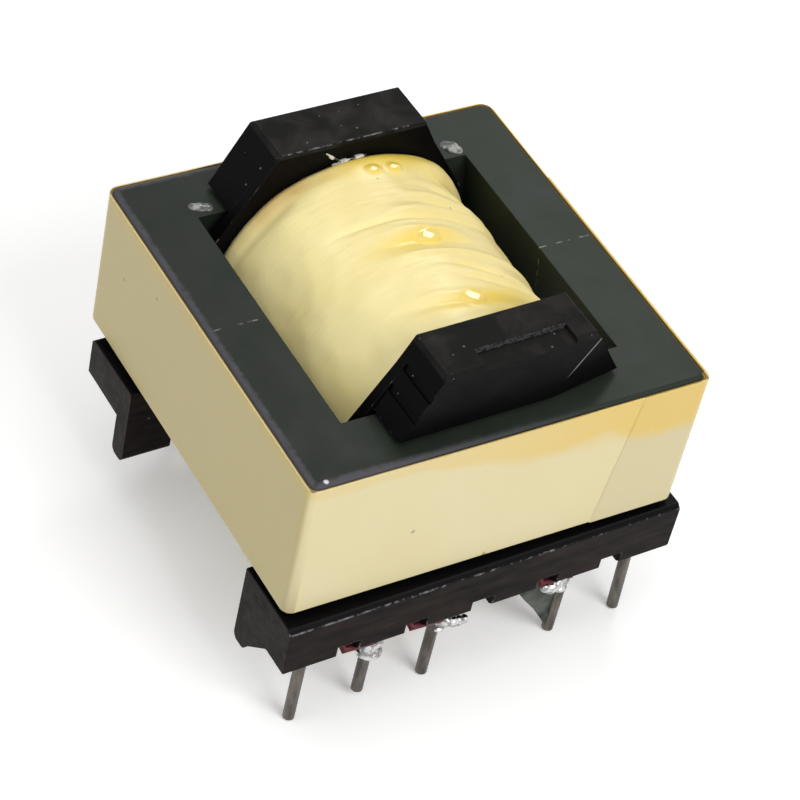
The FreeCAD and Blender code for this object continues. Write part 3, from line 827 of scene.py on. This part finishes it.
# Lumps beside the round body of a joint: X and Y from the pin, height above the board and radius, in mm.
extra_lumps = {
    2: ((-0.3, -0.45, 1.1, 0.55), (0.35, -0.45, 1.35, 0.42)),
    3: ((0.3, -0.4, 1.2, 0.42), (0.75, -0.45, 1.05, 0.42), (1.2, -0.45, 0.95, 0.4), (1.65, -0.45, 0.9, 0.36)),
    5: ((-1.7, -0.6, 1.6, 0.4), (-1.25, -0.6, 1.4, 0.5), (-0.8, -0.6, 1.6, 0.48), (-0.4, -0.5, 2.0, 0.42),
        (0.05, -0.35, 1.9, 0.42)),
    8: ((-0.6, 0.3, 1.5, 0.45),),
    10: ((0.7, 0.3, 1.3, 0.5),),
    11: ((0.5, 0.4, 1.6, 0.45),),
}

# Solder: bright tin alloy with a rippled skin and dull grey patches.
bright_solder, tree = new_material("frozen_solder")
place = millimetres(tree)
patch = clouds(tree, place, scale=2.2, detail=3)
patch_share = ramp(tree, patch, 0.45, 0.6)
colour = blend(tree, patch_share, SOLDER_BRIGHT, SOLDER_DULL)
gloss = ramp(tree, patch_share, 0, 1, 0.1, 0.3)
relief = bumps(tree, patch, strength=0.5, depth_mm=0.12)
surface(tree, Base_Color=colour, Metallic=1.0, Roughness=gloss, Normal=relief)


def flow_together(piece, grain_mm):
    """Melts the overlapping lumps of a piece into one smooth closed skin."""
    remesh = piece.modifiers.new("one skin", "REMESH")
    remesh.mode = "VOXEL"
    remesh.voxel_size = grain_mm * MM
    remesh.use_smooth_shade = True
    smooth = piece.modifiers.new("soft skin", "SMOOTH")
    smooth.iterations = smooth_rounds
    evaluated = piece.evaluated_get(bpy.context.evaluated_depsgraph_get())
    skin = bpy.data.meshes.new_from_object(evaluated)
    piece.modifiers.clear()
    piece.data = skin


for number in wired:
    low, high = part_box("solder_joint_%d" % number)
    centre = (low + high) / 2
    aside, share = drawn_aside.get(number, ((0, 0, 0), 1))
    centre += Vector(aside) * MM
    body_radius = share * (high.x - low.x) / 2
    shape = bmesh.new()
    draw = random.Random(number)
    for turn in range(solder_turns):
        level = low.z + (high.z - low.z) * (turn + 0.5) / solder_turns
        swell = body_radius * draw.uniform(*swell_shares)
        shift = Vector((draw.uniform(-jitter_mm, jitter_mm), draw.uniform(-jitter_mm, jitter_mm), 0)) * MM
        lying = Matrix.Translation(Vector((centre.x, centre.y, level)) + shift) @ flattened
        bmesh.ops.create_icosphere(shape, subdivisions=3, radius=swell, matrix=lying)
    for x, y, z, radius in extra_lumps[number]:
        spot = Vector((centre.x + x * MM, centre.y + y * MM, z * MM))
        bmesh.ops.create_icosphere(shape, subdivisions=3, radius=radius * MM, matrix=Matrix.Translation(spot))
    joint = new_piece("solder_lump_%d" % number, shape, bright_solder)
    flow_together(joint, solder_grain_mm)
    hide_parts("solder_joint_%d" % number)

# Varnish and glue
# The dip varnish has set in a bead between the wrap and the back block, and in a web beside pin 5. Two drops
# of clear glue sit on the back yoke at the corners of the window.
wet_grain_mm = 0.07
GLUE_GREY = "#4d4f4b"
GLUE_MILKY_HIGHLIGHT = "#9c9d97"
WEB_GREEN = "#252a25"
WEB_PALE = "#585d56"
VARNISH_DEEP = "#2a2419"
VARNISH_PAINTED_GLINT = "#d8d4c8"
back_face_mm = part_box("winding_wrap")[1].y / MM

# Set glue: clear and glossy over dark ferrite, with milky patches that are partly painted highlights.
set_glue, tree = new_material("set_glue")
place = millimetres(tree)
cloudy = clouds(tree, place, scale=1.8, detail=4)
milky_and_highlit = ramp(tree, cloudy, 0.45, 0.65)
colour = blend(tree, milky_and_highlit, GLUE_GREY, GLUE_MILKY_HIGHLIGHT)
relief = bumps(tree, cloudy, strength=0.4, depth_mm=0.1)
surface(tree, Base_Color=colour, Roughness=0.15, IOR=1.5, Normal=relief)

# Varnish in a thick bead: dark over the black moulding, very glossy, with pale streaks painted on as glints.
bead_varnish, tree = new_material("bead_varnish")
place = millimetres(tree)
ripple = clouds(tree, place, scale=1.4, detail=3)
painted_glints = ramp(tree, ripple, 0.44, 0.52)
colour = blend(tree, painted_glints, VARNISH_DEEP, VARNISH_PAINTED_GLINT)
surface(tree, Base_Color=colour, Roughness=0.05, IOR=1.55)

# A web of varnish: thin and grey green, dull where dust has stuck to it.
web_varnish, tree = new_material("web_varnish")
place = millimetres(tree)
dust = clouds(tree, place, scale=0.7, detail=3)
dust = ramp(tree, dust, 0.38, 0.62)
colour = blend(tree, dust, WEB_GREEN, WEB_PALE)
surface(tree, Base_Color=colour, Roughness=0.35, IOR=1.5, Specular_IOR_Level=0.1)


def beads(name, spots, material):
    """Round beads in mm, X, Y, Z and radius, flattened to half and run together into one smooth lump."""
    shape = bmesh.new()
    for x, y, z, radius in spots:
        lying = Matrix.Translation(Vector((x, y, z)) * MM) @ flattened
        bmesh.ops.create_icosphere(shape, subdivisions=3, radius=radius * MM, matrix=lying)
    flow_together(new_piece(name, shape, material), wet_grain_mm)


glue_left_mm = ((-9.7, 12.1, 17.88, 0.36), (-9.3, 11.9, 17.9, 0.45), (-8.85, 11.75, 17.88, 0.42))
glue_right_mm = ((9.35, 11.95, 17.88, 0.48), (9.63, 11.65, 17.92, 0.55), (9.85, 11.3, 17.88, 0.45))
beads("glue_drop_left", glue_left_mm, set_glue)
beads("glue_drop_right", glue_right_mm, set_glue)

# The bead lies in the seam between the wrap and the block, and a run of varnish climbs the block at its left.
# Each line of drops: X and Z where it starts and ends, and its thickness, in mm.
bead_lines = (
    ((-1.35, 21.22), (-0.2, 21.42), 0.22),
    ((-0.2, 21.42), (1.05, 21.45), 0.2),
    ((-2.05, 22.35), (-0.85, 21.4), 0.13),
    ((-1.75, 22.0), (-1.35, 21.7), 0.16),
)
bead_spots = 20
bead_sunk_mm = 0.05
thin_share = 0.6
spots = []
for start, end, thick in bead_lines:
    for step in range(bead_spots):
        share = step / (bead_spots - 1)
        x, z = (start[axis] + share * (end[axis] - start[axis]) for axis in (0, 1))
        radius = thick * (thin_share + (1 - thin_share) * math.sin(math.pi * share))
        spots.append((x, back_face_mm - bead_sunk_mm, z, radius))
beads("varnish_bead", spots, bead_varnish)

# The web hangs between the rail and pin 5. Its corners as X and Z in mm.
web_corners = (
    (3.9, 1.0), (4.6, 0.0), (5.7, -1.4), (6.6, -2.8), (7.3, -3.95),
    (7.5, -3.6), (7.5, 1.6), (6.2, 2.15), (4.9, 2.15),
)
web_y_mm = -12.6
web_thick_mm = 0.14
shape = bmesh.new()
face = shape.faces.new([shape.verts.new(Vector((x, web_y_mm, z)) * MM) for x, z in web_corners])
grown = bmesh.ops.extrude_face_region(shape, geom=[face])
for item in grown["geom"]:
    if isinstance(item, bmesh.types.BMVert):
        item.co.y += web_thick_mm * MM
bmesh.ops.recalc_face_normals(shape, faces=shape.faces)
web = new_piece("varnish_web", shape, web_varnish)
web.modifiers.new("flat faces", "WEIGHTED_NORMAL")

# Stage
# A white studio table and backdrop with three soft lamps, a small bright one behind for the glints, and the
# camera of the photograph. Table and backdrop are seen whiter than they light the part.
table_half_m = 1.5
ambient_level = 0.31
glow_share = 0.27
TABLE_WHITE = "#f4f4f4"


def in_view(tree):
    """1 for what is seen straight, mirrored or through something clear, and 0 for what lights the part."""
    paths = node(tree, "LightPath")
    seen = maths(tree, "MAXIMUM", paths.outputs["Is Camera Ray"], paths.outputs["Is Glossy Ray"])
    return maths(tree, "MAXIMUM", seen, paths.outputs["Is Transmission Ray"])


# White table: matt paper that glows a little in the camera's view only.
table_white, tree = new_material("studio_table")
glow_level = maths(tree, "MULTIPLY", in_view(tree), glow_share)
paper = node(tree, "BsdfDiffuse", {"Color": linear(TABLE_WHITE)}).outputs[0]
glow = node(tree, "Emission", {"Strength": glow_level}).outputs[0]
both = node(tree, "AddShader", {0: paper, 1: glow}).outputs[0]
node(tree, "OutputMaterial", {"Surface": both})
shape = bmesh.new()
at_foot = Matrix.Translation((0, 0, cad_low.z))
bmesh.ops.create_grid(shape, x_segments=1, y_segments=1, size=table_half_m, matrix=at_foot)
table = new_object("studio_table", new_mesh("studio_table", shape, table_white))

world = bpy.data.worlds.new("studio")
world.use_nodes = True
tree = world.node_tree
tree.nodes.clear()
strength = between(tree, in_view(tree), ambient_level, 1.0)
background = node(tree, "Background", {"Color": (1, 1, 1, 1), "Strength": strength}).outputs[0]
node(tree, "OutputWorld", {"Surface": background})
bpy.context.scene.world = world


def lamp(name, azimuth, elevation, distance, size, level):
    """A square lamp aimed at the part, its azimuth clockwise from +Y. A level of 1 lights a card to white."""
    data = bpy.data.lights.new(name, "AREA")
    data.shape = "SQUARE"
    data.size = size
    data.energy = level * math.pi ** 2 * distance ** 2
    made = new_object(name, data)
    turn, lift = math.radians(azimuth), math.radians(elevation)
    towards = Vector((math.sin(turn) * math.cos(lift), math.cos(turn) * math.cos(lift), math.sin(lift)))
    made.location = towards * distance
    made.rotation_mode = "QUATERNION"
    made.rotation_quaternion = towards.to_track_quat("Z", "Y")
    return made


lamp("front_softbox", 168, 42, 0.6, 0.35, 0.55)
lamp("left_fill", 262, 55, 0.7, 0.4, 0.05)
lamp("top_softbox", 300, 74, 0.8, 0.8, 0.39)
lamp("back_glint", 45, 48, 0.5, 0.11, 0.1)
# A second lamp in the same place is only seen in gloss, for the white glints of the drops and the solder.
gleam = lamp("back_gleam", 45, 48, 0.5, 0.11, 0.13)
gleam.visible_diffuse = False

# The photograph's camera, fitted to the corners of the core: its place, the way it looks, and its lens.
camera_place = Vector((-88.31, -106.52, 141.63)) * MM
camera_azimuth = math.radians(39.90)
camera_elevation = math.radians(43.88)
camera_roll = math.radians(13.73)
data = bpy.data.cameras.new("photo_camera")
data.sensor_width = 36
data.lens = 132.26
data.clip_start = 10 * MM
camera = new_object("photo_camera", data)
heading = Matrix.Rotation(-camera_azimuth, 4, "Z")
dip = Matrix.Rotation(math.pi / 2 - camera_elevation, 4, "X")
roll = Matrix.Rotation(camera_roll, 4, "Z")
camera.matrix_world = Matrix.Translation(camera_place) @ heading @ dip @ roll
bpy.context.scene.camera = camera
bpy.context.scene.view_settings.view_transform = "Standard"
